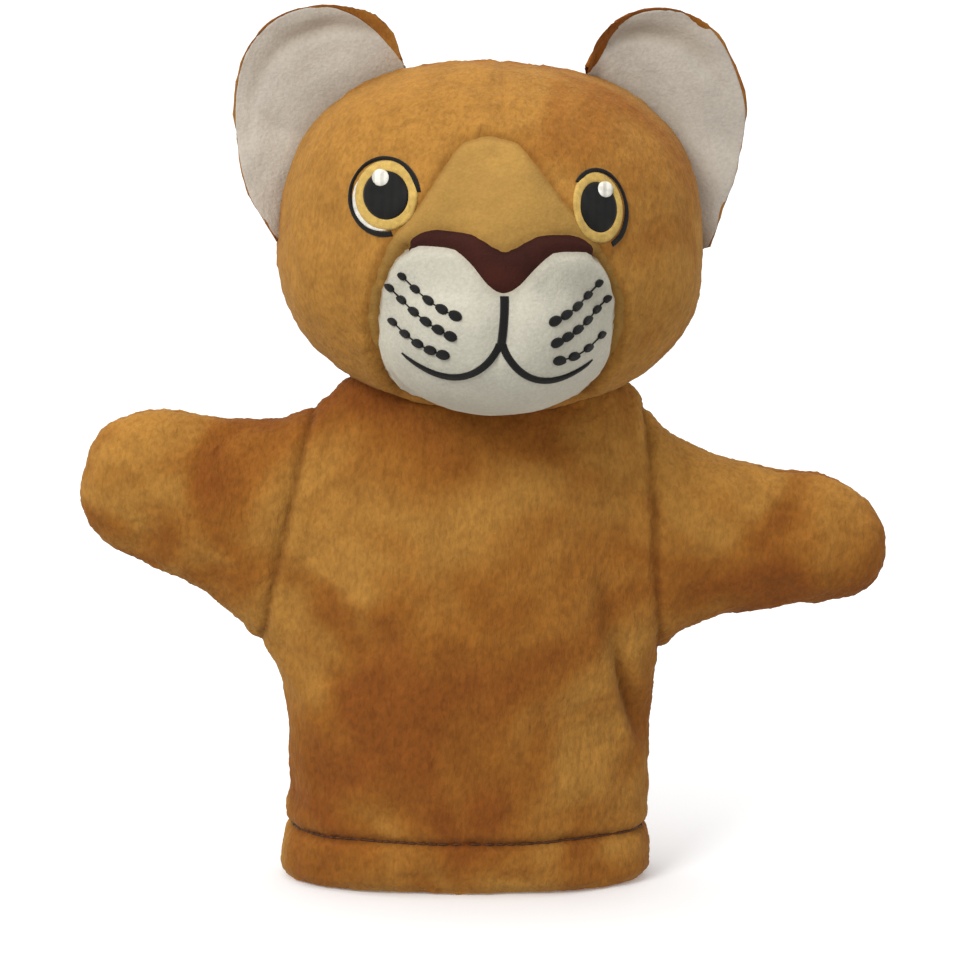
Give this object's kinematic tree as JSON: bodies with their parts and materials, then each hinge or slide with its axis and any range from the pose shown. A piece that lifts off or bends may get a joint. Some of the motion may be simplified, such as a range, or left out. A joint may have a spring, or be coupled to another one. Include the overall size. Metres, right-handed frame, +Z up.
{
  "type": "hand puppet",
  "caption": "Plush lion-cub glove puppet with a stuffed nodding head, hollow arms for thumb and finger, and a hemmed hand opening.",
  "frame": {"origin": "middle of the hand opening, on the lower plane of the hem", "axes": "+Z up from the hand opening to the ears, -Y the way the face looks, +X the puppet's own left"},
  "size_m": [0.2277, 0.1096, 0.2442],
  "materials": {
    "tan_plush": "matte",
    "snout_velour": "matte",
    "white_velour": "matte",
    "ear_velour": "matte",
    "nose_velour": "matte",
    "black_thread": "satin",
    "gold_thread": "satin",
    "white_thread": "satin",
    "fibre_fill": "matte",
    "pocket_cloth": "matte",
    "label_tape": "satin"
  },
  "bodies": {
    "torso": {"torso_front": "tan_plush", "torso_back": "tan_plush", "hem_facing": "tan_plush", "hem_stitching": "black_thread", "care_label": "label_tape"},
    "neck": {"neck_band": "tan_plush"},
    "head": {"head_stuffing": "fibre_fill", "finger_pocket": "pocket_cloth", "face_left": "tan_plush", "face_right": "tan_plush", "head_back_left": "tan_plush", "head_back_right": "tan_plush", "snout_panel": "snout_velour", "nose_patch": "nose_velour", "muzzle_panel": "white_velour", "mouth_embroidery": "black_thread", "whisker_embroidery_left": "black_thread", "eye_outline_left": "black_thread", "eye_white_left": "white_thread", "iris_left": "gold_thread", "pupil_left": "black_thread", "highlight_left": "white_thread", "ear_lining_left": "ear_velour", "ear_back_left": "tan_plush", "whisker_embroidery_right": "black_thread", "eye_outline_right": "black_thread", "eye_white_right": "white_thread", "iris_right": "gold_thread", "pupil_right": "black_thread", "highlight_right": "white_thread", "ear_lining_right": "ear_velour", "ear_back_right": "tan_plush"},
    "shoulder_left": {"sleeve_root_left": "tan_plush"},
    "arm_left": {"arm_left_front": "tan_plush", "arm_left_back": "tan_plush"},
    "shoulder_right": {"sleeve_root_right": "tan_plush"},
    "arm_right": {"arm_right_front": "tan_plush", "arm_right_back": "tan_plush"}
  },
  "joints": [
    {"name": "head_tilt", "type": "hinge", "parent": "torso", "child": "neck", "pos_m": [0.00658, 0, 0.138], "axis": [0, 1, 0], "range_deg": [-10, 10], "deforming": ["neck_band"]},
    {"name": "head_nod", "type": "hinge", "parent": "neck", "child": "head", "pos_m": [0.00658, 0, 0.138], "axis": [1, 0, 0], "range_deg": [-10, 12], "deforming": ["neck_band"]},
    {"name": "arm_left_swing", "type": "hinge", "parent": "torso", "child": "shoulder_left", "pos_m": [0.05073, 0, 0.09701], "axis": [0, 0, 1], "range_deg": [-30, 12], "deforming": ["sleeve_root_left"]},
    {"name": "arm_left_lift", "type": "hinge", "parent": "shoulder_left", "child": "arm_left", "pos_m": [0.05073, 0, 0.09701], "axis": [0, -1, 0], "range_deg": [-15, 30], "deforming": ["sleeve_root_left"]},
    {"name": "arm_right_swing", "type": "hinge", "parent": "torso", "child": "shoulder_right", "pos_m": [-0.0424, 0, 0.09907], "axis": [0, 0, 1], "range_deg": [-12, 30], "deforming": ["sleeve_root_right"]},
    {"name": "arm_right_lift", "type": "hinge", "parent": "shoulder_right", "child": "arm_right", "pos_m": [-0.0424, 0, 0.09907], "axis": [0, 1, 0], "range_deg": [-30, 12], "deforming": ["sleeve_root_right"]}
  ]
}
